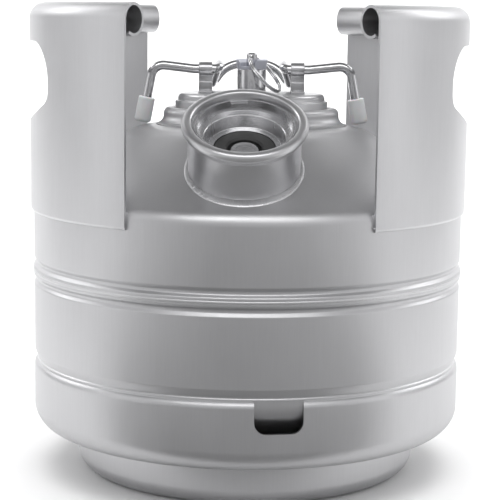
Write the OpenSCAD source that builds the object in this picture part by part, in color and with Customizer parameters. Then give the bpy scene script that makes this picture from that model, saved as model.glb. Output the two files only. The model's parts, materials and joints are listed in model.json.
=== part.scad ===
// Small stainless beer keg: two drawn shells, a stepped foot, two stacking
// handles, a tilted coupler neck with its spear, and an oval hatch with a
// wire bail. Millimetres, +Z up, front towards -Y, origin under the centre.

/* [Vessel] */
// Outer radius of the vessel wall
body_r = 117.5; // [117:0.5:119]
// Sheet thickness of the two shells
shell_t = 1.5; // [1.2:0.1:2]
// Height of the girth seam
seam_z = 110.3; // [108:0.1:113]
// Height at which the wall turns into the shoulder
wall_top_z = 146.8; // [146:0.1:147.5]
// Radius of the shoulder knuckle
knuckle_r = 9; // [8:0.5:10]
// Slope of the conical shoulder, degrees below level
shoulder_slope = 33.5; // [33:0.1:34]
// Height of the flat crown
crown_z = 188.2; // [187.8:0.1:188.6]
// Blend radius between the shoulder cone and the crown
crown_blend_r = 27; // [24:1:30]

/* [Foot] */
// Outer radius of the skirt
skirt_r = 117.7; // [117.6:0.1:118]
// Height of the skirt's top edge
skirt_top_z = 61.5; // [60:0.5:63]
// Height of the step under the skirt
step_z = 24; // [22:1:26]
// Outer radius of the foot ring
foot_r = 93.5; // [92:0.5:95]
// Sheet thickness of the skirt
skirt_t = 1.8; // [1.5:0.1:1.8]
// Width of a drain slot
drain_w = 24.6; // [20:0.2:28]
// Angle of the first drain slot from the front, degrees to the right
drain_turn = 7.4; // [0:0.2:20]

/* [Handles] */
// Outer radius of the handle sheets
handle_r = 119.1; // [119:0.1:119.5]
// Sheet thickness of the handles
handle_t = 1.5; // [1.3:0.1:1.5]
// Height of the handles' bottom edge
handle_low_z = 144.5; // [143:0.5:146]
// Overall height, at the top of the handle curls
total_h = 254; // [252:1:258]
// Half the angle that one handle covers
handle_half_turn = 58.8; // [56:0.2:60]
// Outer diameter of the curl at the top
curl_d = 16.6; // [16:0.2:18]

/* [Coupler neck] */
// Sideways place of the neck
neck_x = -3; // [-3:0.5:3]
// Tilt of the neck axis towards the front, degrees
neck_tilt = 29; // [28.5:0.1:29.5]
// Outer diameter of the neck rim
rim_d = 63; // [62:0.5:64]
// Outer diameter of the neck tube
neck_d = 56.5; // [56:0.1:57]

/* [Hatch] */
// Sideways place of the hatch
hatch_x = 1.4; // [0:0.1:2]
// Place of the hatch centre behind the keg axis
hatch_y = 11; // [10:0.5:12]
// Half the long opening of the hatch
hatch_a = 43.7; // [43:0.1:44]
// Half the short opening of the hatch
hatch_b = 37.5; // [37:0.1:38]
// Height of the collar's top
collar_top_z = 197.8; // [197:0.1:198.5]
// Height of the lid's top
lid_top_z = 205.7; // [205:0.1:206]
// Diameter of the bail wire
wire_d = 5.3; // [5:0.1:5.5]
// Height of the bail's hinge line
bail_z = 218.7; // [218:0.1:219]

/* [Hidden] */

steel = [0.72, 0.72, 0.73];
bright_steel = [0.82, 0.82, 0.84];
weld_steel = [0.60, 0.60, 0.61];
rubber_black = [0.08, 0.08, 0.08];
cap_white = [0.90, 0.90, 0.88];
relief_blue = [0.62, 0.63, 0.68];

$fn = 96;
joint_gap = 0.1;          // running clearance between parts that slide or turn

// Points of an arc about c, from angle a0 to a1
function arc(c, r, a0, a1, n = 8) =
    [for (i = [0:n]) let (a = a0 + (a1 - a0) * i / n) [c[0] + r * cos(a), c[1] + r * sin(a)]];

function reverse(v) = [for (i = [len(v) - 1:-1:0]) v[i]];

// ---------------------------------------------------------------- vessel

weld_half = 0.8;          // half the height of the girth weld
bead_r = body_r + 0.5;    // raised band on both sides of the girth weld
groove_r = body_r - 1.3;
groove_dz = 4.55;         // groove centre from the seam
knuckle_c = [body_r - knuckle_r, wall_top_z];
cone_start = [knuckle_c[0] + knuckle_r * sin(shoulder_slope),
              knuckle_c[1] + knuckle_r * cos(shoulder_slope)];
// radius at which the cone line would meet the flat crown
crown_corner_r = cone_start[0] - (crown_z - cone_start[1]) / tan(shoulder_slope);
crown_flat_r = crown_corner_r - crown_blend_r * tan(shoulder_slope / 2);
blend_c = [crown_flat_r, crown_z - crown_blend_r];

// Outline of the upper shell, t inside its outer face
function upper_outline(t) = concat(
    [[bead_r - t, seam_z + weld_half], [bead_r - t, seam_z + 2.2],
     [groove_r - t, seam_z + groove_dz - 0.8], [groove_r - t, seam_z + groove_dz + 0.8],
     [body_r - t, seam_z + groove_dz + 2.6]],
    arc(knuckle_c, knuckle_r - t, 0, 90 - shoulder_slope, 8),
    arc(blend_c, crown_blend_r - t, 90 - shoulder_slope, 90, 6),
    [[0, crown_z - t]]);

// Height of the crown's outer face at radius r
function dome_z(r) =
    r < crown_flat_r ? crown_z :
    r < crown_flat_r + crown_blend_r * sin(shoulder_slope) ?
        blend_c[1] + sqrt(pow(crown_blend_r, 2) - pow(r - blend_c[0], 2)) :
    r < cone_start[0] ? cone_start[1] + (cone_start[0] - r) * tan(shoulder_slope) :
    knuckle_c[1] + sqrt(max(0, pow(knuckle_r, 2) - pow(r - knuckle_c[0], 2)));

lap_r = skirt_r - skirt_t;         // the lower shell's wall inside the skirt
lap_z = 62;
lower_knuckle_r = 14;
lower_knuckle_z = 59;
dish_slope = 28;
lower_knuckle_c = [lap_r - lower_knuckle_r, lower_knuckle_z];
dish_r = (lower_knuckle_c[0] + lower_knuckle_r * sin(dish_slope)) / sin(dish_slope);
dish_cz = lower_knuckle_z - lower_knuckle_r * cos(dish_slope) + dish_r * cos(dish_slope);

// Outline of the lower shell, t inside its outer face
function lower_outline(t) = concat(
    [[bead_r - t, seam_z - weld_half], [bead_r - t, seam_z - 2.2],
     [groove_r - t, seam_z - groove_dz + 0.8], [groove_r - t, seam_z - groove_dz - 0.8],
     [body_r - t, seam_z - groove_dz - 2.6], [body_r - t, lap_z + 5],
     [body_r - 0.5 - t, lap_z + 3.4], [lap_r - t, lap_z + 1], [lap_r - t, lap_z - 2]],
    arc(lower_knuckle_c, lower_knuckle_r - t, 0, dish_slope - 90, 9),
    arc([0, dish_cz], dish_r - t, dish_slope - 90, -90, 5));

module upper_shell() {
    color(steel) difference() {
        rotate_extrude() polygon(concat(upper_outline(0), reverse(upper_outline(shell_t))));
        at_neck() translate([0, 0, -60]) cylinder(r = neck_d / 2, h = 60);
        translate([0, 0, crown_z - 10]) at_hatch() linear_extrude(20)
            polygon(oval_line(collar_wall));
    }
}

module lower_shell() {
    color(steel) rotate_extrude()
        polygon(concat(lower_outline(0), reverse(lower_outline(shell_t))));
}

// The bead fills the gap between the shells and stands a little proud
module girth_weld() {
    inner = bead_r - shell_t;
    color(weld_steel) rotate_extrude() polygon(concat(
        [[inner - 0.3, seam_z - weld_half], [bead_r, seam_z - weld_half]],
        arc([bead_r - 1.1, seam_z], 1.35, -36, 36, 4),
        [[bead_r, seam_z + weld_half], [inner - 0.3, seam_z + weld_half]]));
}

// ------------------------------------------------------------------ foot

skirt_corner_r = 12;
foot_corner_r = 9;
foot_lip_r = 78;          // where the rolled-in foot ends
step_fillet_r = 4;

function skirt_outline(t) = concat(
    arc([skirt_r - skirt_corner_r, step_z + skirt_corner_r], skirt_corner_r - t, 0, -90, 6),
    arc([foot_r + step_fillet_r, step_z - step_fillet_r], step_fillet_r + t, 90, 180, 4),
    arc([foot_r - foot_corner_r, foot_corner_r], foot_corner_r - t, 0, -90, 6),
    [[foot_lip_r, t]]);

module base_skirt() {
    drain_low_z = 44.7;
    drain_corner_r = 6;
    lip_r = 4.4;
    top_lip = concat(
        [[skirt_r - skirt_t, skirt_top_z], [skirt_r - skirt_t + 0.1, skirt_top_z - 0.3]],
        arc([skirt_r - lip_r, skirt_top_z - lip_r], lip_r, 50, 0, 5));
    color(steel) difference() {
        rotate_extrude()
            polygon(concat(top_lip, skirt_outline(0), reverse(skirt_outline(skirt_t))));
        for (turn = [drain_turn, drain_turn + 180]) rotate([0, 0, turn])
            translate([0, -skirt_r + 12, 0]) rotate([90, 0, 0]) linear_extrude(20)
                drain_outline(drain_low_z, drain_corner_r);
    }
}

// Fine seal weld in the groove above the skirt
module skirt_weld() {
    bead = 0.9;
    color(weld_steel) rotate_extrude() polygon([
        [lap_r, skirt_top_z], [lap_r + 0.4, skirt_top_z], [lap_r + 0.35, skirt_top_z + 0.5],
        [lap_r, skirt_top_z + bead]]);
}

module drain_outline(low, corner) {
    for (side = [-1, 1]) translate([side * (drain_w / 2 - corner), low + corner]) circle(corner);
    translate([corner - drain_w / 2, low]) square([drain_w - 2 * corner, 40]);
    translate([-drain_w / 2, low + corner]) square([drain_w, 40]);
}

// --------------------------------------------------------------- handles

curl_r = curl_d / 2;
curl_c = [handle_r - curl_r, total_h - curl_r];
curl_turn = 305;          // how far round the sheet is rolled
hole_top_z = 233.7;
hole_low_z = 190.7;
hole_half_w = 58.5;
hole_corner_r = 20;
hole_low_r = 136;         // radius of the bowed bottom edge
hole_low_corner_r = 8;

// Outline of one handle sheet: straight wall, then the rolled top
function handle_outline() = concat(
    [[handle_r - handle_t, handle_low_z], [handle_r, handle_low_z]],
    arc(curl_c, curl_r, 0, curl_turn, 26),
    reverse(arc(curl_c, curl_r - handle_t, 0, curl_turn, 26)));

// The hand hole, drawn as seen from the side
module hand_hole() {
    low_c = [0, hole_low_z + hole_low_r];
    low_corner_c = [hole_half_w - hole_low_corner_r, 0];
    low_corner_z = low_c[1] - sqrt(pow(hole_low_r - hole_low_corner_r, 2)
                                   - pow(low_corner_c[0], 2));
    turn = atan2(low_corner_z - low_c[1], low_corner_c[0]);
    right = concat(
        arc([hole_half_w - hole_corner_r, hole_top_z - hole_corner_r], hole_corner_r, 90, 0, 8),
        arc([low_corner_c[0], low_corner_z], hole_low_corner_r, 0, turn, 6));
    bow = arc(low_c, hole_low_r, turn, -90, 7);
    half = concat(right, bow);
    polygon(concat(half, reverse([for (p = half) [-p[0], p[1]]])));
}

// side is 1 for the right handle and -1 for the left one
module handle(side) {
    color(steel) difference() {
        rotate([0, 0, (side > 0 ? 0 : 180) - handle_half_turn])
            rotate_extrude(angle = 2 * handle_half_turn) polygon(handle_outline());
        translate([side * (handle_r - 40), 0, 0]) rotate([90, 0, side * 90])
            linear_extrude(60) hand_hole();
    }
}

module right_handle() { handle(1); }
module left_handle() { handle(-1); }

// Fillet welds in the wedge between the shoulder knuckle and the sheet,
// and along the sheet's lower edge
module handle_weld(side) {
    inner_r = handle_r - handle_t;
    top = wall_top_z + 5;
    bead = 1.5;
    color(weld_steel) rotate([0, 0, (side > 0 ? 0 : 180) - handle_half_turn]) {
        rotate_extrude(angle = 2 * handle_half_turn)
            polygon(concat([[body_r, wall_top_z - 1], [inner_r, wall_top_z - 1], [inner_r, top]],
                           arc(knuckle_c, knuckle_r, 33, 0, 4)));
        rotate_extrude(angle = 2 * handle_half_turn) polygon(concat(
            arc([body_r, handle_low_z], bead, -90, 0, 5), [[body_r, handle_low_z]]));
    }
}

module right_handle_weld() { handle_weld(1); }
module left_handle_weld() { handle_weld(-1); }

// ---------------------------------------------------------- coupler neck

rim_face = [neck_x, -95, 197];   // centre of the rim's top face
neck_in_r = 26.5;                // bore above the gasket seat
seat_in_r = 23.2;                // bore below it
seat_s = -12;                    // seat depth below the rim face
neck_len = 37;

module at_neck() { translate(rim_face) rotate([neck_tilt, 0, 0]) children(); }

// A point given in the neck's own frame, moved to the keg's frame
function neck_point(p) = [
    rim_face[0] + p[0],
    rim_face[1] + p[1] * cos(neck_tilt) - p[2] * sin(neck_tilt),
    rim_face[2] + p[1] * sin(neck_tilt) + p[2] * cos(neck_tilt)];

module coupler_neck() {
    rim_r = rim_d / 2;
    outer_r = neck_d / 2;
    lip_r = 2.6;
    color(bright_steel) at_neck()
        rotate_extrude() polygon(concat(
            [[neck_in_r, -0.8], [neck_in_r + 0.8, 0]],
            arc([rim_r - lip_r, -lip_r], lip_r, 90, -55, 9),
            [[outer_r + 0.6, -5.4], [outer_r + 0.4, -6.8], [outer_r, -7.6],
             [outer_r, -neck_len], [seat_in_r, -neck_len], [seat_in_r, seat_s],
             [neck_in_r, seat_s]]));
}

// Depth along the neck at which a wall of radius r meets the dome, by bisection
function wall_meets_dome(turn, r, lo = -45, hi = -10, i = 0) =
    let (mid = (lo + hi) / 2,
         p = neck_point([r * cos(turn), r * sin(turn), mid]),
         above = p[2] > dome_z(norm([p[0], p[1]])))
    i > 18 ? mid : above ? wall_meets_dome(turn, r, lo, mid, i + 1)
                         : wall_meets_dome(turn, r, mid, hi, i + 1);

// Flat weld bead swept along the line where the neck meets the dome, widest at the front
module neck_weld() {
    rings = 72;
    side_w = 2.2;
    front_w = 4.8;
    bead_h = 0.9;
    root = 0.3;           // how far the bead reaches into the neck's wall
    section = [for (a = [0:36:359]) [(1 + cos(a)) / 2, bead_h * sin(a)]];
    sides = len(section);
    points = [for (i = [0:rings - 1], q = section) let (turn = i * 360 / rings,
            width = side_w + (front_w - side_w) * pow(max(0, -sin(turn)), 2),
            r = neck_d / 2 - root + width * q[0], h = wall_meets_dome(turn, r) + q[1])
        neck_point([r * cos(turn), r * sin(turn), h])];
    faces = [for (i = [0:rings - 1], j = [0:sides - 1]) let (k = (i + 1) % rings, m = (j + 1) % sides)
        each [[i * sides + j, i * sides + m, k * sides + m],
              [i * sides + j, k * sides + m, k * sides + j]]];
    color(weld_steel) polyhedron(points, faces);
}

// -------------------------------------------------- spear and its valves

housing_r = 24.8;         // outer radius of the spear's head
housing_wall = 1.2;
housing_top_s = -3;
housing_flange_s = seat_s + 1.5;   // rests on the gasket
ledge_s = -9.3;
floor_s = -15.6;          // inner floor of the head, round the seal
floor_t = 1.4;
cage_in_r = 18.4;         // cage that holds the springs, below the head
cage_end_s = -62;
seal_r = 15.3;            // visible radius of the rubber gas seal
seal_flange_r = 17.4;
seal_top_s = -16;
seal_end_s = -21;
plunger_r = 7.35;
plunger_top_s = -16.9;
chamber_in_r = 8.6;       // chamber the plunger slides in
chamber_end_s = -45;
tube_r = 8;               // spear tube
tube_wall = 1;
tube_end_s = -190;

module spear_housing() {
    gas_ports = 4;
    port_r = 5;
    port_s = -44;
    notch_w = 9.2;        // notch in the head's rim for the locking tool
    notch_h = 1.6;
    cage_r = cage_in_r + housing_wall;
    color(bright_steel) at_neck() difference() {
        rotate_extrude() polygon([
            [housing_r - housing_wall, housing_top_s], [housing_r, housing_top_s - 0.3],
            [housing_r, housing_flange_s], [seat_in_r - 0.2, housing_flange_s],
            [seat_in_r - 0.2, seal_end_s], [cage_r, seal_end_s - 3], [cage_r, cage_end_s],
            [tube_r + 0.4, cage_end_s], [tube_r + 0.4, cage_end_s + housing_wall],
            [cage_in_r, cage_end_s + housing_wall], [cage_in_r, floor_s - floor_t],
            [seal_r + 0.4, floor_s - floor_t], [seal_r + 0.4, floor_s - 0.4],
            [cage_in_r, floor_s], [20.2, ledge_s - 0.4], [20.6, ledge_s],
            [housing_r - housing_wall, ledge_s + 0.6]]);
        for (i = [0:gas_ports - 1]) rotate([0, 0, 45 + i * 360 / gas_ports])
            translate([0, 0, port_s]) rotate([0, 90, 0]) cylinder(r = port_r, h = cage_r + 5);
        rotate([0, 0, 97]) translate([20, -notch_w / 2, housing_top_s - notch_h])
            cube([10, notch_w, 5]);
    }
}

// Split ring in the gap between the neck's bore and the spear's head
module snap_ring() {
    gap_w = 7;
    ring_s = -5.4;
    color(bright_steel) at_neck() difference() {
        translate([0, 0, ring_s]) rotate_extrude()
            translate([housing_r, 0]) square([neck_in_r - housing_r, 1.2]);
        translate([-gap_w / 2, -neck_in_r - 2, ring_s - 1]) cube([gap_w, 5, 4]);
    }
}

module neck_gasket() {
    color(rubber_black) at_neck() translate([0, 0, seat_s]) rotate_extrude()
        translate([seat_in_r, 0]) square([neck_in_r - seat_in_r, housing_flange_s - seat_s]);
}

module valve_seal() {
    flange_s = floor_s - floor_t - 0.1;
    seal_in_r = 8.75;
    color(rubber_black) at_neck() rotate_extrude() polygon([
        [seal_in_r + 1, seal_top_s], [seal_r - 0.5, seal_top_s], [seal_r, seal_top_s - 0.5],
        [seal_r, flange_s], [seal_flange_r, flange_s], [seal_flange_r, seal_end_s],
        [plunger_r + 0.4, seal_end_s], [plunger_r + 0.4, seal_end_s + 1],
        [seal_in_r, seal_end_s + 3], [seal_in_r, seal_top_s - 1]]);
}

// Steel carrier under the seal, with the plunger's chamber in its middle
module valve_cup() {
    wall = 1;
    color(bright_steel) at_neck() rotate_extrude() polygon([
        [chamber_in_r, seal_end_s], [seal_flange_r - 0.4, seal_end_s],
        [seal_flange_r - 0.4, seal_end_s - 1.2], [chamber_in_r + wall, seal_end_s - 1.2],
        [chamber_in_r + wall, chamber_end_s], [tube_r - tube_wall - 2, chamber_end_s],
        [tube_r - tube_wall - 2, chamber_end_s + wall], [chamber_in_r, chamber_end_s + wall]]);
}

module valve_plunger() {
    skirt_s = seal_end_s - 0.3;
    color(bright_steel) at_neck() rotate_extrude() polygon(concat(
        [[0, plunger_top_s + 0.6], [plunger_r * 0.55, plunger_top_s + 0.4],
         [plunger_r - 0.4, plunger_top_s], [plunger_r, plunger_top_s - 0.5],
         [plunger_r, skirt_s], [chamber_in_r - 0.3, skirt_s], [chamber_in_r - 0.3, skirt_s - 2],
         [3, skirt_s - 2], [3, skirt_s - 6], [0, skirt_s - 6]]));
}

// Coil spring standing on z = 0, turns wound by a loop
module coil_spring(mean_r, wire_r, height, turns) {
    steps = 16;
    sides = 6;
    rise = height - 2 * wire_r;
    last = turns * steps;
    points = [for (i = [0:last]) let (turn = i * 360 / steps, z = wire_r + rise * i / last)
        for (j = [0:sides - 1]) let (a = j * 360 / sides, r = mean_r + wire_r * cos(a))
            [r * cos(turn), r * sin(turn), z + wire_r * sin(a)]];
    skin = [for (i = [0:last - 1], j = [0:sides - 1]) let (m = (j + 1) % sides)
        each [[i * sides + j, i * sides + m, (i + 1) * sides + m],
              [i * sides + j, (i + 1) * sides + m, (i + 1) * sides + j]]];
    caps = [[for (j = [sides - 1:-1:0]) j], [for (j = [0:sides - 1]) last * sides + j]];
    polyhedron(points, concat(skin, caps));
}

module gas_spring() {
    low = cage_end_s + housing_wall;
    color(bright_steel) at_neck() translate([0, 0, low])
        coil_spring(13, 0.9, seal_end_s - 1.2 - low, 6);
}

module product_spring() {
    low = chamber_end_s + 1;
    color(bright_steel) at_neck() translate([0, 0, low])
        coil_spring(6.2, 0.6, seal_end_s - 2.3 - low, 6);
}

module spear_tube() {
    foot_cut_r = 5;
    color(bright_steel) at_neck() difference() {
        translate([0, 0, tube_end_s]) cylinder(r = tube_r, h = chamber_end_s - tube_end_s);
        translate([0, 0, tube_end_s - 1])
            cylinder(r = tube_r - tube_wall, h = chamber_end_s - tube_end_s + 2);
        // crescent that lets liquid in at the foot of the tube
        translate([0, 0, tube_end_s]) rotate([0, 90, 90])
            translate([0, 0, -2 * tube_r]) cylinder(r = foot_cut_r, h = 4 * tube_r);
    }
}

// ----------------------------------------------------------------- hatch

end_arc_r = 30;           // radius of the hatch oval's two tighter ends
// radius of its two flatter sides, so that all four arcs are tangent
side_arc_r = (pow(hatch_a - end_arc_r, 2) + pow(hatch_b, 2) - pow(end_arc_r, 2))
             / (2 * (hatch_b - end_arc_r));
end_arc_x = hatch_a - end_arc_r;
side_arc_y = side_arc_r - hatch_b;
end_arc_turn = atan2(side_arc_y, end_arc_x);
oval_steps = 72;
collar_wall = 5;
collar_low_z = 183.5;

module at_hatch() { translate([hatch_x, hatch_y, 0]) children(); }

// Point d outside the hatch oval, where the oval's normal points along turn
function oval_point(turn, d) =
    let (tip = abs(cos(turn)) > cos(end_arc_turn),
         c = tip ? [sign(cos(turn)) * end_arc_x, 0] : [0, -sign(sin(turn)) * side_arc_y],
         r = d + (tip ? end_arc_r : side_arc_r))
    c + r * [cos(turn), sin(turn)];

function oval_line(d) = [for (i = [0:oval_steps - 1]) oval_point(i * 360 / oval_steps, d)];

// Skin over [offset, height] points carried round the oval, anticlockwise.
// A loop joins up, and any other profile has a flat cap at both ends
module oval_skin(profile, loop = true) {
    n = oval_steps;
    last = len(profile) - 1;
    points = [for (q = profile) each [for (p = oval_line(q[0])) [p[0], p[1], q[1]]]];
    bands = [for (j = [0:loop ? last : last - 1], i = [0:n - 1])
        let (k = (i + 1) % n, a = j * n, b = (j + 1) % (last + 1) * n)
        each [[a + i, b + k, a + k], [a + i, b + i, b + k]]];
    caps = loop ? [] : [[for (i = [0:n - 1]) i], [for (i = [n - 1:-1:0]) last * n + i]];
    polyhedron(points, concat(bands, caps));
}

module hatch_collar() {
    flare_w = 9.1;
    flare_r = 5;
    shoulder_r = 3.5;
    edge_r = 1;
    foot_z = crown_z - 0.3;       // the flare's foot is welded into the crown
    color(steel) at_hatch() oval_skin(concat(
        [[0, collar_low_z], [collar_wall, collar_low_z], [collar_wall, foot_z],
         [flare_w, foot_z], [flare_w, crown_z + 0.4]],
        arc([collar_wall + flare_r - 0.1, crown_z + 0.4 + flare_r], flare_r, 262, 180, 5),
        arc([collar_wall - 0.1 - shoulder_r, collar_top_z - shoulder_r], shoulder_r, 0, 90, 6),
        arc([edge_r, collar_top_z - edge_r], edge_r, 90, 180, 3)));
}

tier_z = 201.6;           // height of the lid's lower tier
tier_in = -1.5;           // its offset from the opening
plate_in = -3;            // offset of the raised plate's edge
plate_edge_r = 3;
lid_t = 2;
flange_out = 3.8;         // the lid's flange is wider than the opening
flange_z = 181;
relief_hole_r = 5.6;

module lid() {
    wall_in = tier_in - lid_t;
    plate_r_in = plate_in - plate_edge_r;
    color(bright_steel) at_hatch() difference() {
        oval_skin(loop = false, profile = concat(
            [[plate_r_in, lid_top_z - lid_t], [plate_in - lid_t, lid_top_z - plate_edge_r],
             [plate_in - lid_t, tier_z - lid_t], [wall_in, tier_z - lid_t],
             [wall_in, flange_z - lid_t], [flange_out, flange_z - lid_t],
             [flange_out, flange_z], [tier_in, flange_z]],
            arc([tier_in - 1, tier_z - 1], 1, 0, 90, 3),
            [[plate_in, tier_z]],
            arc([plate_r_in, lid_top_z - plate_edge_r], plate_edge_r, 0, 90, 5)));
        translate([0, 0, lid_top_z - 5]) cylinder(r = relief_hole_r, h = 10);
    }
}

// Oval seal squeezed between the lid's flange and the collar's underside
module lid_seal() {
    h = collar_low_z - flange_z - 0.05;
    color(rubber_black) at_hatch() translate([0, 0, flange_z]) oval_skin(concat(
        [[tier_in, 0]], arc([flange_out - h / 2, h / 2], h / 2, -90, 90, 6), [[tier_in, h]]));
}

// ------------------------------------------------------ bail and brackets

wire_r = wire_d / 2;
bracket_x = 25.5;         // half the spacing of the two brackets
bracket_w = 7.4;
strap_t = 1.2;
arm_x = 18;               // half the spacing of the bail's inner arms
bail_foot = [60.6, 0, 189.2];
bail_corner = [54.4, 0, 221.2];
cap_r = 4.6;
cap_h = 14;

// Right half of the bail's centre line, relative to the hatch centre, and
// the bend radius at each corner
bail_half = [
    bail_foot + (bail_corner - bail_foot) * 0.06,
    bail_corner, [32, 0, bail_z], [arm_x, 0, bail_z], [arm_x, 9, bail_z + 3],
    [arm_x + 5, 27, bail_z - 11], [14, 33, bail_z + 2]
];
bail_bend = [0, 7, 12, 4, 6, 4, 16];

function mirrored(v) = [for (p = reverse(v)) [-p[0], p[1], p[2]]];

// Arc of points that rounds the corner p between directions u and v
function corner_arc(p, u, v, bend, steps = 6) =
    let (turn = acos(u * v), trim = bend * tan(turn / 2), side = v - u * (u * v),
         inward = side / norm(side), c = p - u * trim + inward * bend)
    [for (k = [0:steps]) let (a = turn * k / steps) c + bend * (u * sin(a) - inward * cos(a))];

// Line of corners with each corner rounded to its own bend radius
function rounded_line(pts, bends) =
    let (n = len(pts),
         dir = [for (i = [0:n - 2]) (pts[i + 1] - pts[i]) / norm(pts[i + 1] - pts[i])])
    concat([pts[0]],
           [for (i = [1:n - 2]) each corner_arc(pts[i], dir[i - 1], dir[i], bends[i])],
           [pts[n - 1]]);

// One direction across the bar at each point, carried along without twist
function carried(along, across, i = 0, done = []) =
    i == len(along) ? done :
    let (m = across - along[i] * (across * along[i]), u = m / norm(m))
    carried(along, u, i + 1, concat(done, [u]));

// Round bar swept along a line of points
module swept_bar(line, r, sides = 12) {
    last = len(line) - 1;
    along = [for (i = [0:last]) let (d = line[min(i + 1, last)] - line[max(i - 1, 0)]) d / norm(d)];
    across = carried(along, [0, 1, 0]);
    points = [for (i = [0:last], j = [0:sides - 1]) let (a = j * 360 / sides)
        line[i] + r * (across[i] * cos(a) + cross(along[i], across[i]) * sin(a))];
    skin = [for (i = [0:last - 1], j = [0:sides - 1]) let (m = (j + 1) % sides)
        each [[i * sides + j, (i + 1) * sides + m, i * sides + m],
              [i * sides + j, (i + 1) * sides + j, (i + 1) * sides + m]]];
    caps = [[for (j = [0:sides - 1]) j], [for (j = [sides - 1:-1:0]) last * sides + j]];
    polyhedron(points, concat(skin, caps));
}

// Turns +Z onto a direction
module point_along(d) {
    rotate([0, acos(d[2] / norm(d)), atan2(d[1], d[0])]) children();
}

module bail() {
    color(bright_steel) at_hatch()
        swept_bar(rounded_line(concat(bail_half, mirrored(bail_half)),
                               concat(bail_bend, reverse(bail_bend))), wire_r);
}

// Soft cap on the end of a bail leg, bored for the wire
module foot_cap(side) {
    edge_r = 1.8;
    cap_foot = [side * bail_foot[0], bail_foot[1], bail_foot[2]];
    leg = [side * bail_corner[0], bail_corner[1], bail_corner[2]] - cap_foot;
    bore_z = norm(leg) * 0.06;
    color(cap_white) at_hatch() translate(cap_foot) point_along(leg) rotate_extrude()
        polygon(concat([[0, 0]], arc([cap_r - edge_r, edge_r], edge_r, -90, 0, 5),
            arc([cap_r - 0.8, cap_h - 0.8], 0.8, 0, 90, 3),
            [[wire_r, cap_h], [wire_r, bore_z], [0, bore_z]]));
}

module right_foot_cap() { foot_cap(1); }
module left_foot_cap() { foot_cap(-1); }

// Strap folded over the bail wire, pinched below it and spread into two feet
module bracket(side) {
    eye_r = wire_r + joint_gap;
    neck_half = strap_t + 0.3;
    flare_z = 5.8;
    foot_y = 9;
    inner_y = 5.7;
    neck_top_z = bail_z - eye_r - 0.3;
    color(bright_steel) at_hatch()
        translate([side * bracket_x - bracket_w / 2, 0, 0]) rotate([90, 0, 90])
        linear_extrude(bracket_w) {
            difference() {
                translate([0, bail_z]) circle(eye_r + strap_t);
                translate([0, bail_z]) circle(eye_r);
                translate([-0.3, bail_z - eye_r - 2]) square([0.6, 3]);
            }
            for (m = [0, 1]) mirror([m, 0]) polygon([
                [0.3, neck_top_z], [2.2, neck_top_z], [neck_half, neck_top_z - 1.2],
                [neck_half, lid_top_z + flare_z + 0.5], [inner_y + 1.2, lid_top_z + strap_t],
                [foot_y, lid_top_z + strap_t], [foot_y, lid_top_z], [inner_y, lid_top_z],
                [0.3, lid_top_z + flare_z]]);
        }
}

module right_bracket() { bracket(1); }
module left_bracket() { bracket(-1); }

// ----------------------------------------------------------- relief valve

relief_r = 8;
relief_top_z = 218.7;
cap_top_z = 224.4;
stub_r = 5.5;
stub_low_z = 194;
seat_z = 199;             // where the relief seal sits
spring_room_r = 4.8;
stem_r = 2.95;
stem_top_z = 227.8;
ring_hole_z = 225.4;
head_low_z = 200.6;
head_top_z = 202.4;
ring_r = 12.1;            // to the middle of the ring's wire
ring_wire_r = 1.1;
ring_turn = -20;          // the ring leans towards the front by this much
// How far below level the ring lies when its far side rests on the lid
ring_slope = asin((ring_hole_z - lid_top_z - ring_wire_r - 0.15) / (2 * ring_r));

module relief_body() {
    orifice_r = 2;
    color(bright_steel) at_hatch() rotate_extrude() polygon([
        [orifice_r, stub_low_z], [stub_r, stub_low_z], [stub_r, lid_top_z],
        [relief_r, lid_top_z], [relief_r, relief_top_z], [spring_room_r, relief_top_z],
        [spring_room_r, seat_z], [orifice_r, seat_z]]);
}

module relief_nut() {
    nut_h = 5;
    across_corners_r = 9.5;
    color(bright_steel) at_hatch() translate([0, 0, lid_top_z - lid_t - nut_h]) difference() {
        cylinder(r = across_corners_r, h = nut_h, $fn = 6);
        translate([0, 0, -1]) cylinder(r = stub_r, h = nut_h + 2);
    }
}

// Cap with a flared slot that the pull ring swings through
module relief_cap() {
    slot_half = 4.2;
    slot_floor_z = 220.4;
    flare_z = 222.4;
    flare_half = 5.8;
    color(relief_blue) at_hatch() difference() {
        rotate_extrude() polygon([
            [stem_r + joint_gap, relief_top_z], [relief_r - 0.1, relief_top_z],
            [relief_r + 0.9, cap_top_z - 0.6], [relief_r + 0.4, cap_top_z],
            [stem_r + joint_gap, cap_top_z]]);
        rotate([0, 0, ring_turn]) translate([0, 20, 0]) rotate([90, 0, 0]) linear_extrude(40) polygon([
            [-slot_half, slot_floor_z], [slot_half, slot_floor_z], [slot_half, flare_z],
            [flare_half, cap_top_z + 0.1], [-flare_half, cap_top_z + 0.1],
            [-slot_half, flare_z]]);
    }
}

module relief_seal() {
    color(rubber_black) at_hatch() translate([0, 0, seat_z])
        cylinder(r = spring_room_r - 0.8, h = head_low_z - seat_z);
}

module relief_stem() {
    hole_r = 1.55;
    color(bright_steel) at_hatch() difference() {
        rotate_extrude() polygon([
            [0, head_low_z], [spring_room_r - 0.4, head_low_z], [spring_room_r - 0.4, head_top_z],
            [stem_r, head_top_z], [stem_r, stem_top_z - 0.8], [stem_r - 0.8, stem_top_z],
            [0, stem_top_z]]);
        rotate([0, 0, ring_turn]) translate([0, 10, ring_hole_z]) rotate([90, 0, 0])
            cylinder(r = hole_r, h = 20);
    }
}

module relief_spring() {
    color(bright_steel) at_hatch() translate([0, 0, head_top_z])
        coil_spring(3.85, 0.4, relief_top_z - head_top_z, 8);
}

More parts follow.
